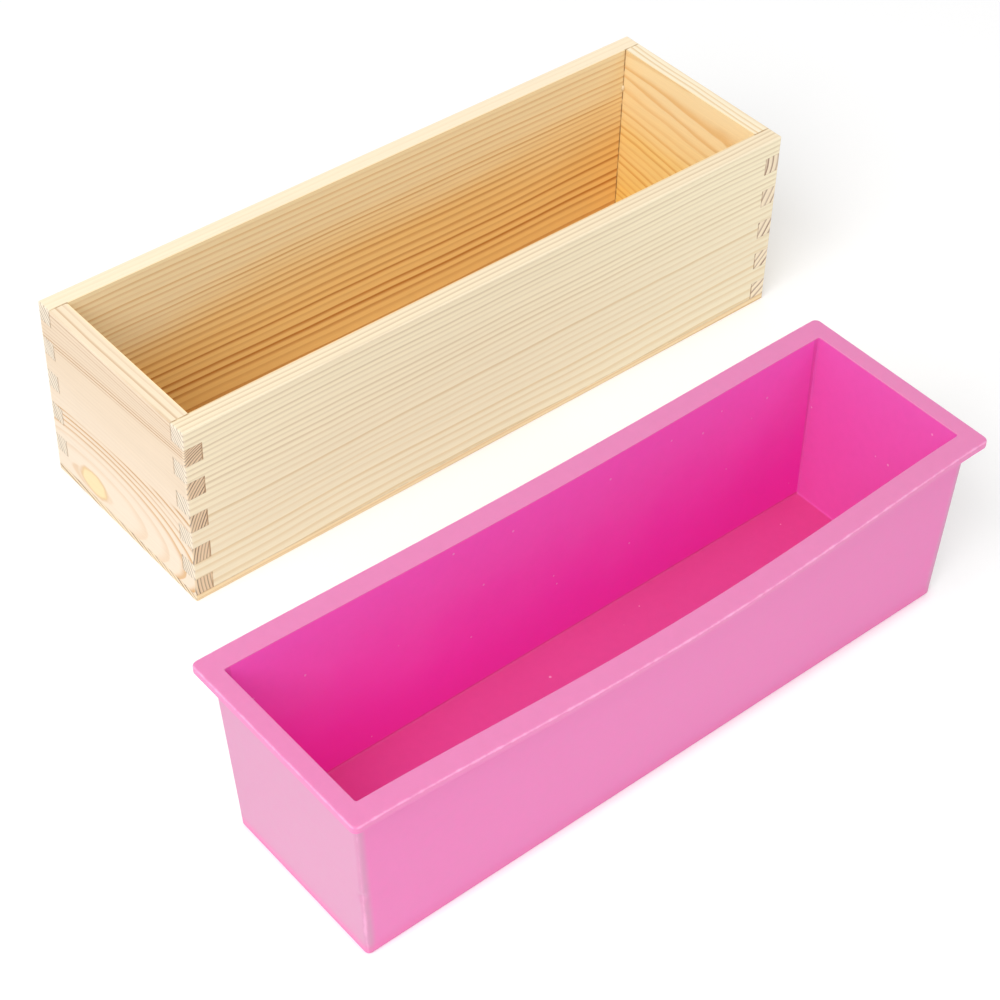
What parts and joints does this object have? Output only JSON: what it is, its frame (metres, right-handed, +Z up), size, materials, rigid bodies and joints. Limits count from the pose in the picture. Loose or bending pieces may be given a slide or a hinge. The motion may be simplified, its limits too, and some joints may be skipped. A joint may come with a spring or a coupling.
{
  "type": "soap loaf mould",
  "caption": "Loaf mould for cast soap: a finger-jointed softwood box and a flanged soft silicone liner that hangs in it and lifts out.",
  "frame": {"origin": "centre of the wooden box's underside, on the surface that it stands on", "axes": "+X along the box, +Y from its front board to its back board, +Z up. The liner stands in front of the box, parallel to it, on the same surface."},
  "size_m": [0.335, 0.257, 0.08],
  "materials": {
    "wall_pine": "sanded, unfinished",
    "bottom_pine": "sanded, unfinished",
    "pink_silicone": "satin, translucent"
  },
  "bodies": {
    "box": {"front_board": "wall_pine", "back_board": "wall_pine", "left_end_board": "wall_pine", "right_end_board": "wall_pine", "bottom_board": "bottom_pine"},
    "liner": {"silicone_liner": "pink_silicone"}
  },
  "joints": [
    {"name": "liner_carry", "type": "slide", "parent": "box", "child": "liner", "axis": [0.2486, 0.7063, 0.6628], "range_m": [0, 0.2413]}
  ]
}
